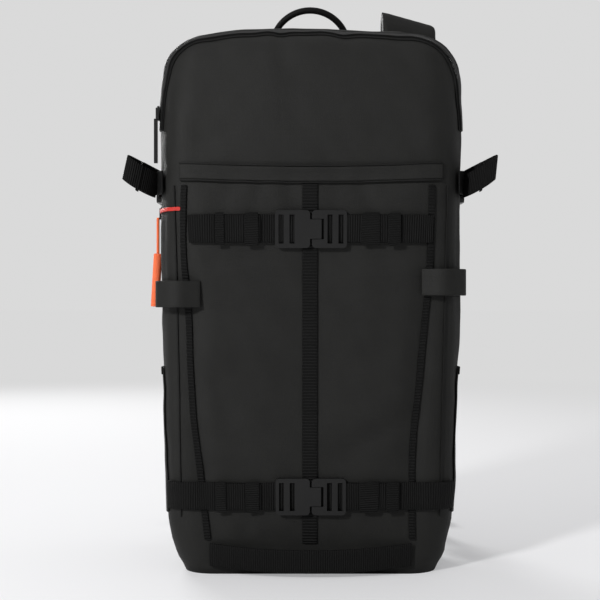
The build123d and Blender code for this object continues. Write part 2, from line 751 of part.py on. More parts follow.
for name, side in SIDES.items():
    with BuildPart() as hip_wing:
        with BuildSketch(Plane.YZ.offset(side * WING_X)):
            with BuildLine():
                FilletPolyline(
                    (panel_y + 2, 16),
                    (panel_y + 2, 108),
                    (96, 108),
                    (wing_tip_y, 78),
                    (wing_tip_y, 48),
                    (100, 16),
                    radius=12,
                    close=True,
                )
            make_face()
        extrude(amount=side * WING_THICK)
        fillet(hip_wing.faces().filter_by(Axis.X).edges(), 3)
    write(hip_wing, f"hip_wing_{name}")

    with BuildPart() as hip_webbing:
        with BuildSketch(Plane.YZ.offset(side * HIP_WEB_X)):
            with BuildLine():
                FilletPolyline(*HIP_ROUTE, radius=route_radii(HIP_ROUTE))
            trace(line_width=WEB)
        extrude(amount=WEB_WIDTH / 2, both=True)
    write(hip_webbing, f"hip_webbing_{name}")

buckle_start = HIP_ROUTE[-1][0]
PLUG_PRONG = 22.0
HIP_BUCKLE_LENGTH = 38.0
with BuildPart() as hip_plug:
    with BuildSketch(Plane.XY.offset(0.4)):
        with Locations((HIP_WEB_X, buckle_start + 9)):
            RectangleRounded(HIP_BUCKLE_WIDTH, 18, 4)
            Rectangle(WEB_WIDTH, 5, mode=Mode.SUBTRACT)
        for step in (-1, 0, 1):
            with Locations((HIP_WEB_X + step * 11, buckle_start + 17 + PLUG_PRONG / 2)):
                RectangleRounded(6, PLUG_PRONG, 2.5)
    extrude(amount=HIP_BUCKLE_THICK - 3)
write(hip_plug, "hip_plug")

with BuildPart() as hip_socket:
    with BuildSketch(Plane.XY.offset(0.4)):
        with Locations((-HIP_WEB_X, buckle_start + HIP_BUCKLE_LENGTH / 2)):
            RectangleRounded(HIP_BUCKLE_WIDTH, HIP_BUCKLE_LENGTH, 5)
        with Locations((-HIP_WEB_X, buckle_start + 7)):
            Rectangle(WEB_WIDTH, 4.5, mode=Mode.SUBTRACT)
    extrude(amount=HIP_BUCKLE_THICK)
    with BuildSketch(Plane.XZ.offset(-buckle_start - HIP_BUCKLE_LENGTH)):
        with Locations((-HIP_WEB_X, 0.4 + HIP_BUCKLE_THICK / 2)):
            Rectangle(HIP_BUCKLE_WIDTH - 6, HIP_BUCKLE_THICK - 4)
    extrude(amount=PLUG_PRONG, mode=Mode.SUBTRACT)
write(hip_socket, "hip_socket")

ROLL_DIAMETER = 15.0
for name, side in SIDES.items():
    with BuildPart() as hip_roll:
        roll_x = side * (HIP_WEB_X + HIP_BUCKLE_WIDTH / 2 + ROLL_DIAMETER / 2 + 0.4)
        with BuildSketch(Plane.XZ.offset(-buckle_start)):
            with Locations((roll_x, ROLL_DIAMETER / 2 + 0.4)):
                Circle(ROLL_DIAMETER / 2)
        extrude(amount=-WEB_WIDTH)
    write(hip_roll, f"hip_roll_{name}")
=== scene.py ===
"""Ski touring backpack: the visible pieces, their finishes and a plain studio."""
import math

import bmesh
import bpy
from mathutils import Matrix, Vector, noise
from mathutils.bvhtree import BVHTree


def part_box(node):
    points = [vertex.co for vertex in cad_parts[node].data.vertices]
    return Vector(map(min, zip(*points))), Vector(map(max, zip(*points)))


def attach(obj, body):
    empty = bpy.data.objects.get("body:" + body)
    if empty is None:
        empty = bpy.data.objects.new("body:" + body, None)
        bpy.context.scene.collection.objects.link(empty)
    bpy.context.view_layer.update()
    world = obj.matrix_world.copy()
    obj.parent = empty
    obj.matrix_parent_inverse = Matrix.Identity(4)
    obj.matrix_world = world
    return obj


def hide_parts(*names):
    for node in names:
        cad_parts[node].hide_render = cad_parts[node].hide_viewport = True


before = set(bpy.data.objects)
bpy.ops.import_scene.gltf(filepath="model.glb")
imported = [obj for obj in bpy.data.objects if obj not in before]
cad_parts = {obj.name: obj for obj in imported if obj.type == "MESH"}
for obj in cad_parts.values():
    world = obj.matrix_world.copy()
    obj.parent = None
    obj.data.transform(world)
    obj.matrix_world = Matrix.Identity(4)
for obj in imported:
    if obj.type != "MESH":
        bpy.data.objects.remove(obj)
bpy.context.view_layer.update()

bl_info = {
    "name": "Ski touring backpack",
    "version": (1, 0, 0),
    "blender": (4, 5, 0),
    "location": "View3D > Sidebar > Backpack",
    "description": "Makes the fabric, webbing and fittings of a ski touring backpack",
    "category": "Object",
}

# ---- Places taken from the frame -----------------------------------------
BAG_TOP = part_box("rear_gusset")[1].z
BAG_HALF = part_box("rear_gusset")[1].x
BACK_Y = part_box("rear_gusset")[1].y
FRONT_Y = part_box("top_pocket")[0].y
GEAR_ZIP_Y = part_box("middle_gusset")[0].y
MAIN_ZIP_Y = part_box("middle_gusset")[1].y
BASE_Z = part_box("bottom_panel")[1].z
WELT_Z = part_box("top_pocket")[0].z
FRONT_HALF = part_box("front_panel")[1].x
DEPTH = BACK_Y - FRONT_Y
CORNER = 0.036
WALL = (0.70, 0.70, 0.70)
AMBIENT = 0.46
# share of height, of width and of depth, and how far the back leans in
OUTLINE = (
    (0.0, 0.86, 0.72, 0.0),
    (0.035, 0.93, 0.75, 0.0),
    (0.12, 0.98, 0.77, 0.0),
    (0.35, 0.99, 0.83, 0.0),
    (0.575, 1.0, 0.92, 0.0),
    (0.725, 1.0, 1.0, 0.0),
    (0.86, 1.0, 0.96, 0.0),
    (0.932, 0.99, 0.88, 0.0),
    (0.966, 0.935, 0.83, 0.002),
    (0.986, 0.84, 0.74, 0.009),
    (1.0, 0.68, 0.58, 0.020),
)


# ---- Finishes -------------------------------------------------------------
class Wire:
    """A shader socket that can be added, subtracted, multiplied and compared."""

    def __init__(self, tree, socket):
        self.tree = tree
        self.socket = socket

    def maths(self, operation, *values):
        node = self.tree.nodes.new("ShaderNodeMath")
        node.operation = operation
        for slot, value in zip(node.inputs, values):
            if isinstance(value, Wire):
                self.tree.links.new(value.socket, slot)
            else:
                slot.default_value = value
        return Wire(self.tree, node.outputs[0])

    def __add__(self, other):
        return self.maths("ADD", self, other)

    __radd__ = __add__

    def __sub__(self, other):
        return self.maths("SUBTRACT", self, other)

    def __rsub__(self, other):
        return self.maths("SUBTRACT", other, self)

    def __mul__(self, other):
        return self.maths("MULTIPLY", self, other)

    __rmul__ = __mul__

    def __truediv__(self, other):
        return self.maths("DIVIDE", self, other)

    def __gt__(self, other):
        return self.maths("GREATER_THAN", self, other)

    def __lt__(self, other):
        return self.maths("LESS_THAN", self, other)

    def wave(self, length):
        """A sine of this value with the given wavelength."""
        return (self * (2 * math.pi / length)).maths("SINE", self * (2 * math.pi / length))

    def size(self):
        return self.maths("ABSOLUTE", self)

    def power(self, other):
        return self.maths("POWER", self, other)


class Finish:
    """A procedural material on the Principled shader."""

    def __init__(self, name, colour, roughness, **constants):
        self.material = bpy.data.materials.new(name)
        self.material.use_nodes = True
        self.tree = self.material.node_tree
        self.shader = self.tree.nodes["Principled BSDF"]
        self.set(**{"Base Color": (*colour, 1.0), "Roughness": roughness})
        names = {key: key.replace("_", " ").title().replace("Ior", "IOR") for key in constants}
        self.set(**{names[key]: value for key, value in constants.items()})
        place = self.node("ShaderNodeTexCoord", output="Object")
        self.place = place
        self.x = self.node("ShaderNodeSeparateXYZ", output="X", Vector=place)
        node = self.x.socket.node
        self.y = Wire(self.tree, node.outputs["Y"])
        self.z = Wire(self.tree, node.outputs["Z"])
        flat = self.node("ShaderNodeTexCoord", output="UV")
        self.along = self.node("ShaderNodeSeparateXYZ", output="X", Vector=flat)
        self.across = Wire(self.tree, self.along.socket.node.outputs["Y"])

    def node(self, kind, settings=None, output=0, **inputs):
        """Any other node: its type, its settings, then its sockets' values or links."""
        node = self.tree.nodes.new(kind)
        for key, value in (settings or {}).items():
            setattr(node, key, value)
        for key, value in inputs.items():
            slot = node.inputs[key.replace("_", " ")]
            if isinstance(value, Wire):
                self.tree.links.new(value.socket, slot)
            else:
                slot.default_value = value
        return Wire(self.tree, node.outputs[output])

    def set(self, **values):
        """Give the shader's own sockets their values or links."""
        for key, value in values.items():
            slot = self.shader.inputs[key]
            if isinstance(value, Wire):
                self.tree.links.new(value.socket, slot)
            else:
                slot.default_value = value

    def mottle(self, scale, detail=3.0, roughness=0.55):
        return self.node(
            "ShaderNodeTexNoise", output="Fac", Vector=self.place, Scale=scale, Detail=detail,
            Roughness=roughness,
        )

    def shades(self, share, dark, light):
        """Base colour between two colours by a 0 to 1 value."""
        mix = self.tree.nodes.new("ShaderNodeMix")
        mix.data_type = "RGBA"
        self.tree.links.new(share.socket, mix.inputs["Factor"])
        mix.inputs["A"].default_value = (*dark, 1.0)
        mix.inputs["B"].default_value = (*light, 1.0)
        self.tree.links.new(mix.outputs["Result"], self.shader.inputs["Base Color"])

    def bump(self, height, distance, strength=1.0):
        self.set(
            Normal=self.node(
                "ShaderNodeBump", Height=height, Distance=distance, Strength=strength
            )
        )


def lighter(colour, times):
    return tuple(min(1.0, part * times) for part in colour)


def coated_fabric(name, colour):
    """Coated ripstop: fine weave, a raised grid and a soft uneven sheen."""
    finish = Finish(name, colour, 0.5, specular_ior_level=0.13)
    across = finish.x + finish.y
    weave = across.wave(0.0011) * finish.z.wave(0.0011)
    grid = (across.wave(0.0052) > 0.94) + (finish.z.wave(0.0052) > 0.94)
    cloud = finish.mottle(38.0)
    grain = finish.mottle(900.0, 2.0)
    finish.shades(cloud * 0.7 + grain * 0.4 - 0.15, lighter(colour, 0.78), lighter(colour, 1.4))
    finish.set(Roughness=cloud * 0.16 + grain * 0.1 + 0.42)
    finish.bump(weave * 0.5 + grid * 0.3 + cloud * 2.0 + grain * 0.5, 0.0002, 0.7)
    return finish.material


def webbing(name, colour, pitch=0.0023, tack=0.0):
    """Ribbed nylon webbing, its ribs running across the strap, with bar tacks if wanted."""
    finish = Finish(name, colour, 0.62, specular_ior_level=0.10)
    ribs = finish.along.wave(pitch)
    edges = finish.across.wave(0.0011)
    grain = finish.mottle(700.0, 2.0)
    height = ribs + edges * 0.3 + grain * 0.5
    if tack:
        share = (finish.along * (1.0 / tack)).maths("FRACT", finish.along * (1.0 / tack))
        height = height + (share < 0.06) * 3.0
    finish.shades(ribs * 0.25 + grain * 0.7, lighter(colour, 0.6), lighter(colour, 2.0))
    finish.bump(height, 0.0003, 0.9)
    return finish.material


def air_mesh(name, colour):
    """Spacer mesh: rows of small open cells over dark foam."""
    finish = Finish(name, colour, 0.75, specular_ior_level=0.10)
    cells = finish.node(
        "ShaderNodeTexVoronoi", {"feature": "F1"}, "Distance", Vector=finish.place, Scale=330.0,
        Randomness=0.35,
    )
    cloud = finish.mottle(30.0)
    finish.shades((cells * 1.5) * 0.7 + cloud * 0.3, lighter(colour, 0.35), lighter(colour, 2.1))
    finish.bump(cells, 0.0011, 0.9)
    return finish.material


def moulded(name, colour, roughness=0.34):
    """Moulded acetal with a light satin grain and a mottled tone."""
    finish = Finish(name, colour, roughness, specular_ior_level=0.3)
    grain = finish.mottle(1400.0, 2.0)
    cloud = finish.mottle(60.0)
    finish.shades(cloud, lighter(colour, 0.8), lighter(colour, 1.5))
    finish.set(Roughness=grain * 0.12 + cloud * 0.1 + (roughness - 0.1))
    finish.bump(grain, 0.00012, 0.6)
    return finish.material


def zip_coil(name, colour):
    """Coil teeth on a woven tape."""
    finish = Finish(name, colour, 0.4)
    teeth = (finish.z + finish.x * 1.0).wave(0.0022)
    finish.shades(teeth * 0.5 + 0.5, lighter(colour, 0.5), lighter(colour, 2.4))
    finish.bump(teeth, 0.0005, 0.9)
    return finish.material


def bright_cord(name, colour):
    """Braided cord or soft tube in a signal colour."""
    finish = Finish(name, colour, 0.5, subsurface_weight=0.05)
    braid = (finish.z + finish.x + finish.y).wave(0.0016) * (finish.z - finish.x).wave(0.0016)
    cloud = finish.mottle(220.0)
    finish.shades(cloud, lighter(colour, 0.82), lighter(colour, 1.1))
    finish.bump(braid + cloud, 0.00025, 0.7)
    return finish.material


FINISHES = {}


def make_finishes(looks):
    shell = tuple(looks.shell_colour)
    web = tuple(looks.webbing_colour)
    plastic = tuple(looks.plastic_colour)
    orange = tuple(looks.pull_colour)
    FINISHES.update(
        shell=coated_fabric("coated_fabric", shell),
        web=webbing("webbing", web),
        daisy=webbing("daisy_webbing", web, 0.0031, 0.0345),
        mesh=air_mesh("air_mesh", tuple(looks.padding_colour)),
        binding=coated_fabric("binding", lighter(shell, 0.55)),
        plastic=moulded("buckle_plastic", plastic),
        grey=moulded("grey_plastic", (0.075, 0.073, 0.066), 0.45),
        tape=coated_fabric("zip_tape", lighter(web, 0.9)),
        coil=zip_coil("zip_coil", lighter(web, 1.2)),
        stretch=coated_fabric("stretch_fabric", lighter(shell, 0.82)),
        slider=moulded("slider_metal", plastic, 0.3),
        cord=bright_cord("orange_cord", orange),
        tube=bright_cord("orange_tube", lighter(orange, 1.05)),
        red=bright_cord("red_lining", (0.55, 0.02, 0.012)),
        reflective=moulded("reflective_patch", (0.036, 0.036, 0.035), 0.42),
        pad=coated_fabric("strap_cover", lighter(shell, 0.7)),
        hidden=moulded("frame_parts", (0.05, 0.05, 0.052), 0.5),
    )


# ---- Shared shaping --------------------------------------------------------
def finished(name, bm, finish, body, nodes=(), modifiers=()):
    """Turn a bmesh into a piece that rides a body and stands for CAD nodes."""
    mesh = bpy.data.meshes.new(name)
    for face in bm.faces:
        face.smooth = True
    bm.to_mesh(mesh)
    bm.free()
    piece = bpy.data.objects.new(name, mesh)
    bpy.context.scene.collection.objects.link(piece)
    mesh.materials.append(FINISHES[finish])
    for kind, settings in modifiers:
        modifier = piece.modifiers.new(kind.lower(), kind)
        for key, value in settings.items():
            setattr(modifier, key, value)
    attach(piece, body)
    if nodes:
        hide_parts(*nodes)
    return piece


def outline_at(level):
    """Width, depth and lean of the bag at a share of its height, smoothly."""
    level = min(max(level, 0.0), 1.0)
    index = max(i for i, ring in enumerate(OUTLINE[:-1]) if ring[0] <= level)
    rings = [OUTLINE[min(max(index + step, 0), len(OUTLINE) - 1)] for step in (-1, 0, 1, 2)]
    share = (level - rings[1][0]) / (rings[2][0] - rings[1][0])
    values = []
    for column in (1, 2, 3):
        low, high = rings[1][column], rings[2][column]
        span = rings[2][0] - rings[1][0]
        rise_low = (high - rings[0][column]) / max(rings[2][0] - rings[0][0], 1e-6) * span
        rise_high = (rings[3][column] - low) / max(rings[3][0] - rings[1][0], 1e-6) * span
        square, cube = share * share, share ** 3
        values.append(
            (2 * cube - 3 * square + 1) * low
            + (cube - 2 * square + share) * rise_low
            + (3 * square - 2 * cube) * high
            + (cube - square) * rise_high
        )
    return values


def arch(share, sharp=0.5):
    """0 at both ends of a panel and 1 in its middle, steep beside the seams."""
    share = min(max(share, 0.0), 1.0)
    return max(0.0, math.sin(math.pi * share)) ** sharp


def ease(value, low, high):
    share = min(max((value - low) / (high - low), 0.0), 1.0)
    return share * share * (3 - 2 * share)


def slices(bm, axis, places):
    """Cut every face at each place along an axis."""
    normal = Vector([1.0 if k == axis else 0.0 for k in range(3)])
    for place in places:
        geometry = bm.verts[:] + bm.edges[:] + bm.faces[:]
        bmesh.ops.bisect_plane(bm, geom=geometry, plane_co=normal * place, plane_no=normal)


def trim(bm, axis, low, high):
    """Keep what lies between two places along an axis."""
    normal = Vector([1.0 if k == axis else 0.0 for k in range(3)])
    for place, way in ((low, -1), (high, 1)):
        geometry = bm.verts[:] + bm.edges[:] + bm.faces[:]
        bmesh.ops.bisect_plane(
            bm, geom=geometry, plane_co=normal * place, plane_no=normal * way, clear_outer=True
        )


SIDES = {"left": 1, "right": -1}
SEAMS = {
    "left": (
        (0.1209, 0.400), (0.1215, 0.335), (0.117, 0.278), (0.1094, 0.182), (0.1025, 0.124),
        (0.1050, 0.036),
    ),
    "right": (
        (-0.1268, 0.400), (-0.130, 0.335), (-0.1235, 0.278), (-0.122, 0.182), (-0.1154, 0.124),
        (-0.1060, 0.036),
    ),
}


def seam_x(name, z):
    """Where the front's seam stands at a height."""
    knots = SEAMS[name]
    for (x0, z0), (x1, z1) in zip(knots, knots[1:]):
        if z >= z1:
            share = min(max((z0 - z) / (z0 - z1), 0.0), 1.0)
            return x0 + (x1 - x0) * share
    return knots[-1][0]


def panel_swell(point, normal):
    """How far the fabric stands out of its seams at a point of the bag."""
    facing = ease(-normal.y, 0.35, 0.8)
    upright = point.z / BAG_TOP
    if point.z > WELT_Z:
        rise = (point.z - WELT_Z) / (BAG_TOP - WELT_Z)
        front = 0.0075 * arch(rise * 0.92 + 0.04, 0.7) * arch(point.x / (2 * BAG_HALF) + 0.5, 0.6)
    else:
        away = abs(point.x - seam_x("left" if point.x > 0 else "right", point.z))
        half = 1.0 - 0.9 * math.exp(-((away / 0.012) ** 2)) - 0.4 * math.exp(-((point.x / 0.03) ** 2))
        front = 0.0052 * half * arch((point.z - BASE_Z) / (WELT_Z - BASE_Z), 0.5)
    seams = (FRONT_Y + 0.03, GEAR_ZIP_Y, MAIN_ZIP_Y, BACK_Y + 0.002)
    side = 0.0
    for low, high, swell in zip(seams, seams[1:], (0.0038, 0.0030, 0.0050)):
        if low <= point.y <= high:
            side = swell * arch((point.y - low) / (high - low), 0.9)
    side *= 0.35 + 0.65 * ease(upright, 0.2, 0.5)
    if point.z < BASE_Z:
        front = side = 0.0
    return front * facing + side * (1 - facing) - 0.001


# creases pressed into the front: x and z at both ends, depth, half width
CREASES = (
    (-0.128, 0.424, -0.075, 0.466, 0.0026, 0.012),
    (-0.118, 0.452, -0.088, 0.492, 0.0016, 0.010),
    (0.122, 0.428, 0.066, 0.456, 0.0024, 0.012),
    (-0.032, 0.554, -0.028, 0.520, 0.0018, 0.007),
    (0.030, 0.556, 0.044, 0.516, 0.0014, 0.008),
    (0.112, 0.168, 0.040, 0.132, 0.0020, 0.008),
    (-0.098, 0.196, -0.070, 0.118, 0.0014, 0.010),
    (0.098, 0.330, 0.030, 0.322, 0.0014, 0.008),
    (-0.100, 0.322, -0.040, 0.330, 0.0014, 0.008),
    (-0.050, 0.398, -0.058, 0.374, 0.0016, 0.005),
    (-0.022, 0.398, -0.018, 0.372, 0.0014, 0.005),
    (0.026, 0.398, 0.022, 0.376, 0.0013, 0.005),
    (0.050, 0.398, 0.062, 0.372, 0.0016, 0.006),
    (-0.080, 0.398, -0.094, 0.376, 0.0016, 0.006),
    (0.078, 0.046, 0.050, 0.070, 0.0018, 0.007),
    (-0.070, 0.044, -0.058, 0.064, 0.0016, 0.006),
)


def crease(point):
    """Depth of the creases at a point of the front."""
    depth = 0.0
    for x0, z0, x1, z1, deep, half in CREASES:
        run = Vector((x1 - x0, z1 - z0))
        here = Vector((point.x - x0, point.z - z0))
        share = min(max(here.dot(run) / run.length_squared, 0.0), 1.0)
        away = (here - run * share).length
        if away < 3 * half:
            depth += deep * math.exp(-((away / half) ** 2)) * (1.0 - 0.5 * share)
    return depth


def wrinkle(point):
    """Soft uneven fabric: long across the front, finer near the seams."""
    broad = noise.noise(Vector((point.x * 9, point.y * 9, point.z * 16)))
    fine = noise.noise(Vector((point.x * 34, point.y * 34, point.z * 46)))
    drape = noise.noise(Vector((point.x * 60 + point.z * 30, point.y * 60, point.z * 14)))
    return 0.0018 * broad + 0.0007 * fine + 0.0006 * drape


def bag_surface():
    """The outside of the whole bag as one bmesh."""
    bm = bmesh.new()
    bmesh.ops.create_cube(bm, size=1.0)
    bmesh.ops.scale(bm, vec=(2 * BAG_HALF, DEPTH, BAG_TOP), verts=bm.verts)
    bmesh.ops.translate(bm, vec=(0, (BACK_Y + FRONT_Y) / 2, BAG_TOP / 2), verts=bm.verts)
    upright = [e for e in bm.edges if abs(e.verts[0].co.z - e.verts[1].co.z) > 0.1]
    bmesh.ops.bevel(
        bm, geom=upright, offset=CORNER, offset_type="OFFSET", affect="EDGES", segments=10,
        profile=0.5, material=-1,
    )
    step = 0.0066
    flat_x = BAG_HALF - CORNER
    count = int(2 * flat_x / step)
    slices(bm, 0, [-flat_x + 2 * flat_x * i / count for i in range(1, count)])
    low, high = FRONT_Y + CORNER, BACK_Y - CORNER
    count = int((high - low) / step)
    slices(bm, 1, [low + (high - low) * i / count for i in range(1, count)])
    levels = [i * 0.0122 for i in range(1, 76)] + [0.93 + i * 0.0058 for i in range(1, 12)]
    slices(bm, 2, [BAG_TOP * level for level in levels])
    for vert in bm.verts:
        wide, deep, lean = outline_at(vert.co.z / BAG_TOP)
        share = (BACK_Y - vert.co.y) / DEPTH
        vert.co.x *= wide
        vert.co.y = BACK_Y - lean - share * (DEPTH * deep - lean)
    bmesh.ops.recalc_face_normals(bm, faces=bm.faces)
    bm.normal_update()
    moved = []
    for vert in bm.verts:
        out = panel_swell(vert.co, vert.normal)
        if vert.co.z > BASE_Z * 0.7 and vert.normal.y < 0.7:
            out += wrinkle(vert.co)
        if vert.normal.y < -0.6:
            out = max(out - crease(vert.co), -0.0012)
        out = max(out, -0.0018)
        if vert.normal.y > 0.7 or vert.co.z < 0.002:
            out = 0.0
        crown = 0.009 * ease(vert.co.z, BAG_TOP * 0.9, BAG_TOP) * arch(vert.co.x / 0.30 + 0.5, 0.8)
        crown *= 1.0 - ease(vert.co.y, -0.036, -0.008)
        moved.append(vert.normal * out + Vector((0, 0, crown)))
    for vert, shift in zip(bm.verts, moved):
        vert.co += shift
    bm.normal_update()
    return bm


BAG = {}


def strip(name, limits, lift, thick, finish, nodes=(), body="bag", test=None, edge=0.0004):
    """A layer of fabric or webbing laid on the bag between limits on x, y and z."""
    bm = BAG["surface"].copy()
    for axis, (low, high) in limits.items():
        trim(bm, axis, low, high)
    if test:
        outside = [face for face in bm.faces if not test(face)]
        bmesh.ops.delete(bm, geom=outside, context="FACES")
    bm.normal_update()
    for vert in bm.verts:
        vert.co += vert.normal * lift
    modifiers = [("SOLIDIFY", {"thickness": thick, "offset": 1.0})]
    if edge:
        modifiers.append(("BEVEL", {"width": edge, "segments": 2, "limit_method": "ANGLE"}))
    return finished(name, bm, finish, body, nodes, modifiers)


def spread(points, count):
    """Points at equal steps along a line of points."""
    points = [Vector(point) for point in points]
    runs = [0.0]
    for one, other in zip(points, points[1:]):
        runs.append(runs[-1] + (other - one).length)
    found = []
    index = 0
    for step in range(count):
        target = runs[-1] * step / (count - 1)
        while index < len(points) - 2 and runs[index + 1] < target:
            index += 1
        share = (target - runs[index]) / max(runs[index + 1] - runs[index], 1e-9)
        found.append(points[index].lerp(points[index + 1], share))
    return found, runs[-1]


def sheet_grid(points, ways, width, rows):
    """A grid of faces along points, spread over a width along each point's way."""
    bm = bmesh.new()
    layer = bm.loops.layers.uv.verify()
    bmesh.ops.create_grid(
        bm, x_segments=len(points) - 1, y_segments=rows, size=1.0, calc_uvs=True
    )
    length = sum((b - a).length for a, b in zip(points, points[1:]))
    for vert in bm.verts:
        for loop in vert.link_loops:
            loop[layer].uv = ((vert.co.x + 1) / 2 * length, (vert.co.y + 1) / 2 * width)
    for vert in bm.verts:
        column = round((vert.co.x + 1) / 2 * (len(points) - 1))
        vert.co = points[column] + ways[column] * (vert.co.y / 2 * width)
    return bm


def laid(
    name, guide, width, lift, thick, finish, nodes=(), across=(0, 0, 1), body="bag",
    surface="tree", rows=6, step=0.004, edge=0.0004, rounds=1,
):
    """A band that follows a surface along a guide, as webbing and tape are sewn on."""
    _, length = spread(guide, 2)
    points, _ = spread(guide, max(3, int(length / step)))
    if isinstance(across, tuple):
        ways = [Vector(across).normalized()] * len(points)
    else:
        ways = [Vector(across(point)).normalized() for point in points]
    bm = sheet_grid(points, ways, width, rows)
    tree = BAG[surface]
    normals = {}
    for vert in bm.verts:
        place, normal, _, _ = tree.find_nearest(vert.co)
        normals[vert] = normal
        vert.co = place
    for _ in range(rounds):
        bmesh.ops.smooth_vert(
            bm, verts=bm.verts, factor=0.4, use_axis_x=True, use_axis_y=True, use_axis_z=True
        )
    for vert in bm.verts:
        vert.co += normals[vert] * lift
    bm.normal_update()
    facing = sum(vert.normal.dot(normals[vert]) for vert in bm.verts)
    if facing < 0:
        bmesh.ops.reverse_faces(bm, faces=bm.faces)
    modifiers = [("SOLIDIFY", {"thickness": thick, "offset": 1.0})]
    if edge:
        modifiers.append(("BEVEL", {"width": edge, "segments": 2, "limit_method": "ANGLE"}))
    return finished(name, bm, finish, body, nodes, modifiers)


def ribbon(
    name, route, way, width, thick, finish, nodes=(), body="bag", step=0.003, rows=4
):
    """A free length of webbing along a route, its width along one way or a way per point."""
    _, length = spread(route, 2)
    points, _ = spread(route, max(3, int(length / step)))
    ways = [Vector(way).normalized()] * len(points) if isinstance(way, tuple) else way(points)
    bm = sheet_grid(points, ways, width, rows)
    bm.normal_update()
    return finished(
        name, bm, finish, body, nodes,
        [
            ("SOLIDIFY", {"thickness": thick, "offset": 0.0}),
            ("BEVEL", {"width": thick * 0.3, "segments": 2, "limit_method": "ANGLE"}),
        ],
    )


def half_box(node, side):
    """The box of a two-sided CAD node's half on one side."""
    verts = [v.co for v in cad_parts[node].data.vertices if v.co.x * side > 0]
    low = Vector([min(co[k] for co in verts) for k in range(3)])
    high = Vector([max(co[k] for co in verts) for k in range(3)])
    return low, high


def tube_along(points, radius, sides=10):
    """A round tube through the given points, its ends closed."""
    bm = bmesh.new()
    rings = []
    before = None
    for index, point in enumerate(points):
        ahead = points[min(index + 1, len(points) - 1)] - points[max(index - 1, 0)]
        ahead.normalize()
        turn = ahead.to_track_quat("Z", "Y").to_matrix()
        if before is not None:
            turn = before[1].rotation_difference(ahead).to_matrix() @ before[0]
        before = (turn, ahead.copy())
        place = Matrix.Translation(point) @ turn.to_4x4()
        made = bmesh.ops.create_circle(
            bm, segments=sides, radius=radius, cap_ends=index in (0, len(points) - 1), matrix=place
        )
        edges = {e for v in made["verts"] for e in v.link_edges}
        rings.append([e for e in edges if all(v in made["verts"] for v in e.verts)])
    for low, high in zip(rings, rings[1:]):
        low = [e for e in low if e.is_valid and len(e.link_faces) < 2]
        high = [e for e in high if e.is_valid and len(e.link_faces) < 2]
        bmesh.ops.bridge_loops(bm, edges=low + high)
    bmesh.ops.recalc_face_normals(bm, faces=bm.faces)
    return bm


def smooth_route(points):
    """Points read from a NURBS spline through a route, as a list of vectors."""
    data = bpy.data.curves.new("route", "CURVE")
    data.dimensions = "3D"
    spline = data.splines.new("NURBS")
    spline.points.add(len(points) - 1)
    for knot, point in zip(spline.points, points):
        knot.co = (*point, 1.0)
    spline.order_u = 3
    spline.use_endpoint_u = True
    spline.resolution_u = 12
    holder = bpy.data.objects.new("route", data)
    mesh = bpy.data.meshes.new_from_object(holder)
    found = [vert.co.copy() for vert in mesh.vertices]
    bpy.data.objects.remove(holder)
    bpy.data.curves.remove(data)
    bpy.data.meshes.remove(mesh)
    return found


def soft_copy(node, voxel, rounds, factor=0.5):
    """A CAD solid's mesh, merged, remeshed evenly and smoothed."""
    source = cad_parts[node]
    bm = bmesh.new()
    bm.from_mesh(source.data)
    bmesh.ops.remove_doubles(bm, verts=bm.verts, dist=0.00002)
    mesh = bpy.data.meshes.new("soft")
    bm.to_mesh(mesh)
    bm.free()
    holder = bpy.data.objects.new("soft", mesh)
    bpy.context.scene.collection.objects.link(holder)
    remesh = holder.modifiers.new("remesh", "REMESH")
    remesh.mode = "VOXEL"
    remesh.voxel_size = voxel
    depsgraph = bpy.context.evaluated_depsgraph_get()
    bm = bmesh.new()
    bm.from_object(holder, depsgraph)
    bpy.data.objects.remove(holder)
    for _ in range(rounds):
        bmesh.ops.smooth_vert(
            bm, verts=bm.verts, factor=factor, use_axis_x=True, use_axis_y=True, use_axis_z=True
        )
    bm.normal_update()
    return bm


# ---- Sizes and colours a user would change ---------------------------------
class BackpackLooks(bpy.types.PropertyGroup):
    """Colours and sizes of the backpack's visible pieces."""

    shell_colour: bpy.props.FloatVectorProperty(
        name="Shell colour", description="Coated outer fabric", subtype="COLOR", size=3,
        default=(0.0125, 0.0125, 0.0118), min=0.0, max=1.0,
    )
    webbing_colour: bpy.props.FloatVectorProperty(
        name="Webbing colour", description="Straps and seam webbing", subtype="COLOR", size=3,
        default=(0.0040, 0.0040, 0.0039), min=0.0, max=1.0,
    )
    plastic_colour: bpy.props.FloatVectorProperty(
        name="Buckle colour", description="Moulded buckles and sliders", subtype="COLOR", size=3,
        default=(0.0036, 0.0036, 0.0036), min=0.0, max=1.0,
    )
    padding_colour: bpy.props.FloatVectorProperty(
        name="Padding colour", description="Mesh over the padding", subtype="COLOR", size=3,
        default=(0.0085, 0.0085, 0.0082), min=0.0, max=1.0,
    )
    pull_colour: bpy.props.FloatVectorProperty(
        name="Pull colour", description="Safety compartment's pull", subtype="COLOR", size=3,
        default=(0.86, 0.15, 0.045), min=0.0, max=1.0,
    )
    web_thickness: bpy.props.FloatProperty(
        name="Webbing thickness", description="Thickness of laid webbing", unit="LENGTH",
        default=0.0016, min=0.0008, max=0.003,
    )
    tape_thickness: bpy.props.FloatProperty(
        name="Zip tape thickness", description="Thickness of the zip tapes", unit="LENGTH",
        default=0.0009, min=0.0004, max=0.002,
    )


def looks():
    return bpy.context.scene.backpack_looks


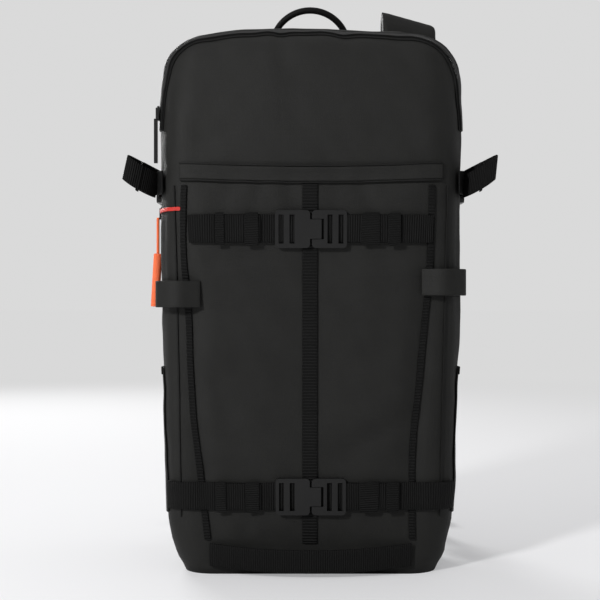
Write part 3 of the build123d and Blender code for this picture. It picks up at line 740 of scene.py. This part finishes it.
class BACKPACK_OT_finishes(bpy.types.Operator):
    """Make the finishes and give them to the rigid fittings"""

    bl_idname = "backpack.finishes"
    bl_label = "Finishes and fittings"

    def execute(self, context):
        make_finishes(looks())
        fittings = {
            "plastic": (
                "upper_frame", "upper_hook", "lower_frame", "lower_hook", "side_frames",
                "side_hook_left", "side_hook_right", "ladder_lock_left", "ladder_lock_right",
                "sternum_clip_left", "sternum_clip_right", "sternum_plug", "sternum_socket",
                "hip_plug",
            ),
            "grey": ("hip_socket",),
            "slider": ("main_slider", "pocket_slider", "gear_slider"),
            "hidden": ("frame_sheet", "frame_stay"),
            "binding": ("pocket_lining", "compartment_divider", "gear_sleeve", "bladder_sleeve"),
        }
        for finish, nodes in fittings.items():
            for node in nodes:
                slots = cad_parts[node].material_slots
                for slot in slots:
                    slot.material = FINISHES[finish]
                if not slots:
                    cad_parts[node].data.materials.append(FINISHES[finish])
        return {"FINISHED"}


class BACKPACK_OT_bag(bpy.types.Operator):
    """Make the bag's coated fabric shell"""

    bl_idname = "backpack.bag"
    bl_label = "Bag shell"

    def execute(self, context):
        BAG["surface"] = bag_surface()
        BAG["tree"] = BVHTree.FromBMesh(BAG["surface"])
        finished(
            "bag_fabric", BAG["surface"].copy(), "shell", "bag",
            (
                "bottom_panel", "rear_gusset", "middle_gusset", "top_pocket", "front_panel",
                "front_gusset_left", "front_gusset_right",
            ),
        )
        return {"FINISHED"}


class BACKPACK_OT_zips(bpy.types.Operator):
    """Lay the zip tapes and their coils over the bag"""

    bl_idname = "backpack.zips"
    bl_label = "Zips"

    def execute(self, context):
        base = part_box("main_zip")[0].z
        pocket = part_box("pocket_zip")
        places = (
            ("main", MAIN_ZIP_Y, base, 1.0),
            ("gear", GEAR_ZIP_Y, base, 1.0),
            ("pocket", (pocket[0].y + pocket[1].y) / 2, pocket[0].z, 1.0),
        )
        for name, middle, low, high in places:
            for part, half, lift, finish in (("tape", 0.0062, 0.0002, "tape"), ("coil", 0.0019, 0.0011, "coil")):
                strip(
                    f"{name}_{part}",
                    {1: (middle - half, middle + half), 2: (low, high)},
                    lift, looks().tape_thickness * (1.0 if part == "tape" else 1.6), finish,
                    (f"{name}_zip",) if part == "tape" else (),
                )
        return {"FINISHED"}


def front(x, z):
    """The point of the bag's front at x and z."""
    place, _, _, _ = BAG["tree"].ray_cast(Vector((x, -1.0, z)), Vector((0, 1, 0)))
    return place


def side_point(side, y, z):
    """The point of the bag's side at y and z."""
    place, _, _, _ = BAG["tree"].ray_cast(Vector((side, y, z)), Vector((-side, 0, 0)))
    return place


def steps(low, high, count=40):
    return [low + (high - low) * index / count for index in range(count + 1)]


# where the webbing is doubled and where its elastic keepers sit: x from, x to
DOUBLED = ((-0.094, -0.0500), (0.036, 0.088))
KEEPERS = ((-0.0963, -0.0863), (-0.0670, -0.0520), (0.0500, 0.0700), (0.0770, 0.0900))


class BACKPACK_OT_webbing(bpy.types.Operator):
    """Lay the seam webbing, the welt and the straps over the bag"""

    bl_idname = "backpack.webbing"
    bl_label = "Webbing on the bag"

    def execute(self, context):
        thick = looks().web_thickness
        low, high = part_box("welt_band")
        middle = (low.z + high.z) / 2
        bow = [(x, middle - 0.003 * (1 - (x / high.x) ** 2)) for x in steps(low.x, high.x)]
        laid(
            "welt", [front(x, z) for x, z in bow], high.z - low.z, 0.0004, 0.0026, "shell",
            ("welt_band",), edge=0.0010,
        )
        for name, shift, width in (("upper", 0.0085, 0.0022), ("lower", -0.0085, 0.0018)):
            laid(
                f"welt_piping_{name}", [front(x, z + shift) for x, z in bow], width, 0.0012, 0.0022,
                "binding", rows=2,
            )
        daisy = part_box("daisy_strip")
        laid(
            "daisy_webbing", [front(-0.001, z) for z in steps(daisy[0].z, daisy[1].z)],
            daisy[1].x - daisy[0].x, 0.0003, thick, "daisy", ("daisy_strip",),
            across=(1, 0, 0),
        )
        for name, side in SIDES.items():
            route = smooth_route([front(x, z) for x, z in SEAMS[name]])
            laid(
                f"seam_{name}", route, 0.0075, 0.0004, thick, "daisy",
                ("seam_webbing",), across=(1, 0, 0), rows=3,
            )
            rail = [front(side * (0.1375 - 0.004 * (0.40 - z) / 0.34), z) for z in steps(0.40, 0.06)]
            laid(
                f"gusset_piping_{name}", rail, 0.0024, 0.0, 0.0016, "binding",
                across=(1, 0, 0), rows=2,
            )
        for name in ("upper", "lower"):
            low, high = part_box(f"{name}_strap")
            middle = (low.z + high.z) / 2
            width = high.z - low.z
            laid(
                f"{name}_front_strap", [front(x, middle) for x in steps(low.x, high.x, 60)], width,
                0.0024, thick, "web", (f"{name}_strap",),
            )
            for index, (start, end) in enumerate(DOUBLED):
                laid(
                    f"{name}_doubled_{index}", [front(x, middle) for x in steps(start, end)],
                    width - 0.001, 0.0041, thick, "web",
                )
            for index, (start, end) in enumerate(KEEPERS):
                reach = width / 2 + 0.0015
                column = (start + end) / 2
                laid(
                    f"{name}_keeper_{index}",
                    [front(column, z) for z in steps(middle - reach, middle + reach)],
                    end - start, 0.0058, 0.0010, "web", across=(1, 0, 0.06),
                )
        self.sides(thick)
        return {"FINISHED"}

    def sides(self, thick):
        """The side pockets and the compression straps with their folded ends."""
        low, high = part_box("side_pockets")
        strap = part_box("compression_straps")
        level = (strap[0].z + strap[1].z) / 2
        for name, side in SIDES.items():
            middle = (low.z + high.z) / 2
            laid(
                f"side_pocket_{name}",
                [side_point(side, y, middle) for y in steps(low.y, high.y)], high.z - low.z,
                0.0008, 0.0012, "stretch", ("side_pockets",), rows=30, step=0.005,
            )
            laid(
                f"pocket_hem_{name}",
                [side_point(side, y, high.z - 0.004) for y in steps(low.y, high.y)], 0.009, 0.0018,
                0.0014, "binding", rows=3,
            )
            laid(
                f"pocket_seam_{name}",
                [side_point(side, -0.014, z) for z in steps(low.z, high.z - 0.006)], 0.0024, 0.0018,
                0.0012, "binding", across=(0, 1, 0), rows=2,
            )
            laid(
                f"side_strap_{name}",
                [side_point(side, y, level) for y in steps(high.y - 0.001, -0.070, 60)],
                strap[1].z - strap[0].z, 0.0030, thick, "web", ("compression_straps",),
            )
            face = side * (BAG_HALF + 0.0055)
            out = strap[1].x - BAG_HALF - 0.006
            fold = smooth_route([
                (face, -0.034, level + 0.002), (face + side * out * 0.5, -0.050, level + 0.009),
                (face + side * out, -0.068, level + 0.016),
                (face + side * (out + 0.001), -0.073, level + 0.015),
                (face + side * (out - 0.008), -0.074, level + 0.008),
                (face + side * 0.005, -0.060, level - 0.001), (face, -0.050, level - 0.002),
            ])
            lean = (-0.22 * side, 0.0, 1.0) if name == "right" else (0.10, 0.0, 1.0)
            ribbon(
                f"side_strap_fold_{name}", fold, lean, strap[1].z - strap[0].z, thick, "web",
                ("compression_straps",),
            )
            near = [point for point in fold if abs(point.x - face) < out * 0.55]
            ribbon(
                f"side_strap_keeper_{name}",
                [point + Vector((side * 0.0016, -0.0016, 0.0)) for point in near[: len(near) // 2]],
                lean, strap[1].z - strap[0].z + 0.002, thick, "web",
            )


class BACKPACK_OT_loops(bpy.types.Operator):
    """Make the ski loops, the bottom loop and the grab handle"""

    bl_idname = "backpack.loops"
    bl_label = "Loops and handle"

    def execute(self, context):
        for name, side in SIDES.items():
            low, high = half_box("ski_loops", side)
            level = (low.z + high.z) / 2
            inner = min(abs(low.x), abs(high.x))
            start = front(side * inner, level)
            edge = side_point(side, high.y, level)
            ring = smooth_route([
                start + Vector((0, -0.0028, 0)),
                start + Vector((side * 0.008, -0.0050, 0)),
                start + Vector((side * 0.022, -0.0100, 0)),
                Vector((side * 0.1460, start.y - 0.0050, level)),
                Vector((side * 0.1570, start.y + 0.0060, level)),
                Vector((side * 0.1580, high.y - 0.018, level)),
                edge + Vector((side * 0.0040, -0.006, 0)),
                edge + Vector((side * 0.0022, 0.002, 0)),
            ])
            ribbon(
                f"ski_loop_{name}", ring, (0.0, 0.0, 1.0), high.z - low.z, 0.0024, "shell",
                ("ski_loops",), rows=8,
            )
        low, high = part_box("bottom_loop")
        bow = [
            (x, high.y - 0.0008 - (high.y - low.y - 0.0016) * (1 - (x / high.x) ** 2),
             (low.z + high.z) / 2 + 0.004 * (x / high.x) ** 2)
            for x in steps(low.x, high.x)
        ]
        ribbon(
            "bottom_webbing_loop", bow, (0.0, -0.18, 1.0), high.z - low.z - 0.002,
            looks().web_thickness, "web", ("bottom_loop",), rows=6,
        )
        low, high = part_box("grab_handle")
        half = 0.0035
        reach = high.x - half
        foot = Vector((0, high.y - half, low.z + half))
        peak = Vector((0, low.y + half, high.z - half)) - foot
        rise = peak.length
        radius = (reach ** 2 + rise ** 2) / (2 * rise)
        spread_angle = math.acos((radius - rise) / radius)
        arc = []
        for share in steps(-1, 1, 32):
            turn = share * spread_angle
            up = rise - radius + radius * math.cos(turn)
            arc.append(foot + peak.normalized() * up + Vector((radius * math.sin(turn), 0, 0)))
        finished(
            "rolled_handle", tube_along(arc, half, 12), "web", "handle",
            ("grab_handle",),
        )
        return {"FINISHED"}


PLEATS = {
    "left": (
        0.574, 0.546, 0.525, 0.505, 0.484, 0.451, 0.439, 0.402, 0.365, 0.355, 0.345, 0.336, 0.326,
        0.316, 0.306,
    ),
    "right": (
        0.527, 0.490, 0.443, 0.402, 0.357, 0.345, 0.334, 0.320, 0.306, 0.291, 0.275, 0.262,
        0.244, 0.225,
    ),
}
PATCHES = {"left": 0.466, "right": 0.420}
# lines pressed into the back panel: x and z at both ends, mirrored
PANEL_LINES = (
    (0.026, 0.322, 0.077, 0.278), (0.077, 0.278, 0.061, 0.196), (0.030, 0.262, 0.008, 0.262),
    (0.030, 0.262, 0.034, 0.160), (0.108, 0.500, 0.112, 0.150), (0.112, 0.150, 0.092, 0.098),
)


class BACKPACK_OT_padding(bpy.types.Operator):
    """Make the back panel, shoulder straps and hip wings"""

    bl_idname = "backpack.padding"
    bl_label = "Padding"

    def execute(self, context):
        self.back()
        for side in SIDES:
            self.shoulder(side)
            pad = finished(
                f"hip_pad_{side}", soft_copy(f"hip_wing_{side}", 0.003, 6), "pad",
                f"hip_{side}", (f"hip_wing_{side}",),
                [("SUBSURF", {"levels": 1, "render_levels": 1})],
            )
        self.harness_webbing()
        return {"FINISHED"}

    def back(self):
        """The foam back panel with its channels and pressed lines."""
        low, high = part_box("back_panel")
        bm = soft_copy("back_panel", 0.004, 5)
        for vert in bm.verts:
            if vert.normal.y > 0.3:
                across = vert.co.x / high.x
                up = (vert.co.z - low.z) / (high.z - low.z)
                swell = 0.004 * arch(across * 0.5 + 0.5, 0.5) * arch(up, 0.4) - 0.004
                here = Vector((abs(vert.co.x), vert.co.z))
                for x0, z0, x1, z1 in PANEL_LINES:
                    run = Vector((x1 - x0, z1 - z0))
                    gap = here - Vector((x0, z0))
                    share = min(max(gap.dot(run) / run.length_squared, 0.0), 1.0)
                    away = (gap - run * share).length
                    swell -= 0.0035 * math.exp(-((away / 0.0036) ** 2))
                vert.co.y += swell
        pad = finished(
            "back_pad", bm, "mesh", "bag", ("back_panel",),
            [("SUBSURF", {"levels": 1, "render_levels": 1})],
        )

    def shoulder(self, side):
        """One shoulder strap with pleats, bound edges and a reflective patch."""
        bm = soft_copy(f"shoulder_strap_{side}", 0.0032, 6)
        face = [v for v in bm.verts if v.normal.y > 0.35]
        levels = {}
        for vert in face:
            levels.setdefault(round(vert.co.z / 0.005), []).append(vert)
        edges = {
            key: (min(v.co.x for v in verts), max(v.co.x for v in verts))
            for key, verts in levels.items()
        }
        for key, verts in levels.items():
            start, end = edges[key]
            for vert in verts:
                inside = ease(min(vert.co.x - start, end - vert.co.x), 0.006, 0.012)
                tilt = (vert.co.x - (start + end) / 2) * (0.10 if side == "left" else -0.10)
                depth = sum(
                    0.0020 * math.exp(-(((vert.co.z - tilt - level) / 0.0026) ** 2))
                    for level in PLEATS[side]
                )
                puff = 0.0004 * arch((vert.co.x - start) / max(end - start, 1e-6), 0.5)
                vert.co.y += puff * inside - depth * inside
        bm.normal_update()
        BAG[side] = BVHTree.FromBMesh(bm)
        fronts = {key: max(v.co.y for v in verts) for key, verts in levels.items()}
        pad = finished(
            f"shoulder_pad_{side}", bm, "pad", "bag", (f"shoulder_strap_{side}",),
            [("SUBSURF", {"levels": 1, "render_levels": 1})],
        )
        low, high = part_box(f"shoulder_strap_{side}")
        for which, name in ((0, "inner"), (1, "outer")):
            guide = []
            for key in sorted(edges):
                level = key * 0.005
                if low.z + 0.008 < level < high.z - 0.030:
                    inset = 0.0052 if which == 0 else -0.0052
                    guide.append(Vector((edges[key][which] + inset, fronts[key], level)))
            guide = smooth_route(guide)
            laid(
                f"shoulder_binding_{name}_{side}", guide, 0.009, 0.0001, 0.0007, "binding",
                across=(1, 0, 0), surface=side, rows=3, rounds=2,
            )
        key = round(PATCHES[side] / 0.005)
        start, end = edges[key]
        y = fronts[key]
        laid(
            f"reflective_patch_{side}",
            [(x, y, PATCHES[side]) for x in steps(start + 0.009, end - 0.009)], 0.014, 0.0006,
            0.0008, "reflective", across=(0, 0, 1), surface=side, rows=4, rounds=3,
        )

    def harness_webbing(self):
        """The webbing of the harness; the sternum and hip lengths ride their own bodies, the rest rides the bag.
        """
        thick = looks().web_thickness
        for name, side in SIDES.items():
            low, high = half_box("load_lifters", side)
            middle = (low.x + high.x) / 2
            ribbon(
                f"load_lifter_{name}",
                [(middle, low.y, low.z + 0.0008), (middle, high.y, high.z - 0.0008)], (1, 0, 0),
                high.x - low.x, thick, "web", ("load_lifters",),
            )
        for name, run in (("left", (-0.026, -0.085)), ("right", (0.020, -0.009))):
            low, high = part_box(f"sternum_webbing_{name}")
            centre = (low + high) / 2
            half = Vector((run[0], 0, run[1])) / 2
            way = Vector((-run[1], 0, run[0])).normalized()
            ribbon(
                f"sternum_{name}", [centre - half, centre + half], tuple(way), 0.019, thick, "web",
                (f"sternum_webbing_{name}",), f"chest_strap_{name}",
            )
        for name, side in SIDES.items():
            low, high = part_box(f"hip_webbing_{name}")
            middle = (low.x + high.x) / 2
            route = smooth_route([
                (middle, low.y + 0.0008, high.z), (middle, 0.138, 0.032), (middle, 0.158, 0.009),
                (middle, 0.188, 0.0018), (middle, high.y, 0.0012),
            ])
            ribbon(
                f"hip_strap_{name}", route, (1, 0, 0), high.x - low.x, thick, "web",
                (f"hip_webbing_{name}",), f"hip_{name}",
            )
            low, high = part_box(f"hip_roll_{name}")
            centre = (low + high) / 2
            radius = (high.z - low.z) / 2
            spiral = []
            for turn in steps(0.0, 3.1, 90):
                reach = 0.0018 + (radius - 0.0027) * turn / 3.1
                angle = 2 * math.pi * turn
                spiral.append(
                    centre + Vector((reach * math.cos(angle), 0, reach * math.sin(angle)))
                )
            ribbon(
                f"webbing_roll_{name}", spiral, (0, 1, 0), high.y - low.y, 0.0013, "web",
                (f"hip_roll_{name}",), f"hip_{name}", step=0.0016,
            )
            low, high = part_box(f"adjust_webbing_{name}")
            ribbon(
                f"adjust_strap_{name}",
                smooth_route([
                    (side * 0.1420, high.y - 0.0010, high.z), (side * 0.134, high.y - 0.004, high.z - 0.02),
                    (side * 0.124, low.y + 0.0065, low.z + 0.026),
                    (side * 0.1185, low.y + 0.0010, low.z + 0.006), (side * 0.1175, low.y + 0.0008, low.z),
                ]),
                (1, 0, 0), 0.020, thick, "web", (f"adjust_webbing_{name}",),
            )


class BACKPACK_OT_pull(bpy.types.Operator):
    """Make the orange pull's cord and the red stripe beside it"""

    bl_idname = "backpack.pull"
    bl_label = "Orange pull"

    def execute(self, context):
        low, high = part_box("pull_cord")
        middle = (low + high) / 2
        points = [
            Vector((middle.x, middle.y, high.z)),
            Vector((middle.x, middle.y + 0.0003, middle.z)),
            Vector((middle.x, middle.y, low.z)),
        ]
        route = smooth_route(points)
        cord = finished(
            "orange_cord", tube_along(route, (high.x - low.x) / 2), "cord", "orange_pull",
            ("pull_cord",),
        )
        top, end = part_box("pull_tube")[1].z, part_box("pull_tube")[0].z
        radius = (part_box("pull_tube")[1].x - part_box("pull_tube")[0].x) / 2
        line = [
            Vector((middle.x - 0.0032 * share, middle.y, top + (end - top) * share))
            for share in steps(0, 1, 12)
        ]
        tube = finished(
            "orange_tube", tube_along(line, radius, 16), "tube", "orange_pull",
            ("pull_tube",), [("BEVEL", {"width": 0.0009, "segments": 3, "limit_method": "ANGLE"})],
        )
        level = 0.376
        stripe = [side_point(-1, y, level) for y in steps(-0.034, -0.058, 8)]
        stripe += [front(x, level) for x in steps(-0.148, -0.130, 8)]
        laid(
            "red_stripe", stripe, 0.0045, 0.0004, 0.0014, "red", rows=2, step=0.003,
        )
        return {"FINISHED"}


class BACKPACK_OT_stage(bpy.types.Operator):
    """Set the floor, the lights and the camera"""

    bl_idname = "backpack.stage"
    bl_label = "Stage"

    def execute(self, context):
        bm = bmesh.new()
        bmesh.ops.create_grid(bm, x_segments=1, y_segments=1, size=30.0)
        mesh = bpy.data.meshes.new("floor")
        bm.to_mesh(mesh)
        bm.free()
        floor = bpy.data.objects.new("floor", mesh)
        context.scene.collection.objects.link(floor)
        pale = Finish("pale_floor", (0.84, 0.84, 0.85), 0.9, specular_ior_level=0.1)
        mesh.materials.append(pale.material)
        tree = pale.tree
        out = tree.nodes["Material Output"]
        far = pale.x * pale.x + pale.y * pale.y
        share = (far.power(0.5) - 0.5).maths("DIVIDE", far.power(0.5) - 0.5, 2.6)
        share = share.maths("MINIMUM", share.maths("MAXIMUM", share, 0.0), 1.0)
        share = share.maths("SMOOTH_MIN", share, 1.0, 0.2)
        glow = tree.nodes.new("ShaderNodeEmission")
        glow.inputs["Color"].default_value = (0.965, 0.965, 0.985, 1.0)
        glow.inputs["Strength"].default_value = 0.88
        haze = tree.nodes.new("ShaderNodeEmission")
        haze.inputs["Color"].default_value = (*WALL, 1.0)
        path = tree.nodes.new("ShaderNodeLightPath")
        seen = Wire(tree, path.outputs["Is Camera Ray"])
        near = tree.nodes.new("ShaderNodeMixShader")
        tree.links.new((seen * 0.36).socket, near.inputs["Fac"])
        tree.links.new(pale.shader.outputs["BSDF"], near.inputs[1])
        tree.links.new(glow.outputs["Emission"], near.inputs[2])
        last = tree.nodes.new("ShaderNodeMixShader")
        tree.links.new((seen * share).socket, last.inputs["Fac"])
        tree.links.new(near.outputs["Shader"], last.inputs[1])
        tree.links.new(haze.outputs["Emission"], last.inputs[2])
        tree.links.new(last.outputs["Shader"], out.inputs["Surface"])

        world = bpy.data.worlds.new("studio")
        context.scene.world = world
        world.use_nodes = True
        tree = world.node_tree
        background = tree.nodes["Background"]
        background.inputs["Color"].default_value = (*WALL, 1.0)
        path = tree.nodes.new("ShaderNodeLightPath")
        seen = Wire(tree, path.outputs["Is Camera Ray"])
        strength = seen * (1.0 - AMBIENT) + AMBIENT
        tree.links.new(strength.socket, background.inputs["Strength"])

        def lamp(name, place, size, power):
            data = bpy.data.lights.new(name, "AREA")
            data.shape = "DISK"
            data.size = size
            data.energy = power
            light = bpy.data.objects.new(name, data)
            light.location = place
            light.rotation_mode = "QUATERNION"
            aim = Vector((0, 0, BAG_TOP / 2)) - Vector(place)
            light.rotation_quaternion = aim.to_track_quat("-Z", "Y")
            context.scene.collection.objects.link(light)

        lamp("key", (-1.55, -2.05, 1.42), 0.36, 64.0)
        lamp("fill", (2.2, 0.3, 1.1), 1.4, 5.0)
        lamp("top", (0.1, 0.2, 2.4), 1.6, 6.0)
        lamp("back", (-1.1, 2.2, 1.3), 1.2, 44.0)

        data = bpy.data.cameras.new("camera")
        data.lens = 69.0
        data.clip_start = 0.05
        data.clip_end = 60.0
        camera = bpy.data.objects.new("camera", data)
        camera.location = (-0.011, -1.24, 0.284)
        camera.rotation_euler = (math.radians(90.0), 0.0, 0.0)
        context.scene.collection.objects.link(camera)
        context.scene.camera = camera
        context.scene.view_settings.view_transform = "Standard"
        return {"FINISHED"}


STEPS = (
    BACKPACK_OT_finishes, BACKPACK_OT_stage, BACKPACK_OT_bag, BACKPACK_OT_zips,
    BACKPACK_OT_webbing, BACKPACK_OT_loops, BACKPACK_OT_padding, BACKPACK_OT_pull,
)


class BACKPACK_PT_panel(bpy.types.Panel):
    """Lists the steps that make the backpack"""

    bl_idname = "BACKPACK_PT_panel"
    bl_label = "Backpack"
    bl_space_type = "VIEW_3D"
    bl_region_type = "UI"
    bl_category = "Backpack"

    def draw(self, context):
        for step in STEPS:
            self.layout.operator(step.bl_idname)
        for name in BackpackLooks.__annotations__:
            self.layout.prop(context.scene.backpack_looks, name)


CLASSES = (BackpackLooks, *STEPS, BACKPACK_PT_panel)


def register():
    for cls in CLASSES:
        bpy.utils.register_class(cls)
    bpy.types.Scene.backpack_looks = bpy.props.PointerProperty(type=BackpackLooks)


def unregister():
    del bpy.types.Scene.backpack_looks
    for cls in reversed(CLASSES):
        bpy.utils.unregister_class(cls)


def main():
    register()
    for step in STEPS:
        group, name = step.bl_idname.split(".")
        getattr(getattr(bpy.ops, group), name)()


if __name__ == "__main__":
    main()
